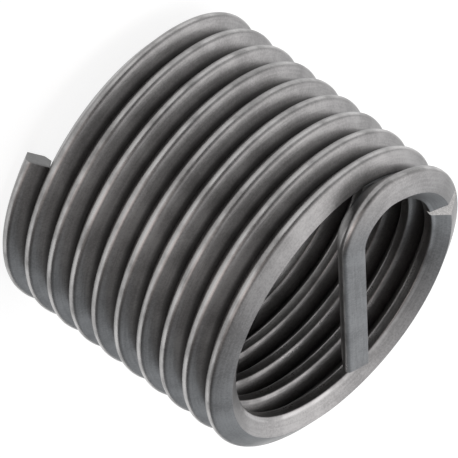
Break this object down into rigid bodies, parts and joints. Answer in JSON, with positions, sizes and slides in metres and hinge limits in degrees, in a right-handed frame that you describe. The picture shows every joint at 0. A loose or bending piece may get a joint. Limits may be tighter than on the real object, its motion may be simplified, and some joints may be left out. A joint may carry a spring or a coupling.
{
  "type": "helical thread insert",
  "caption": "Coil of rhombic steel wire that lines a tapped hole with a fresh metric thread, with a break-off driving tang across its end.",
  "frame": {"origin": "on the coil's axis, level with the lowest point of the wire at the cut end that it stands on", "axes": "+Z along the coil's axis, from the cut end that the bolt enters to the tang; +X through the wire's cut end face"},
  "size_m": [0.0168, 0.0168, 0.0157],
  "materials": {
    "wire": "satin cold-rolled stainless wire"
  },
  "bodies": {
    "root": {"wire_insert": "wire"}
  },
  "joints": []
}
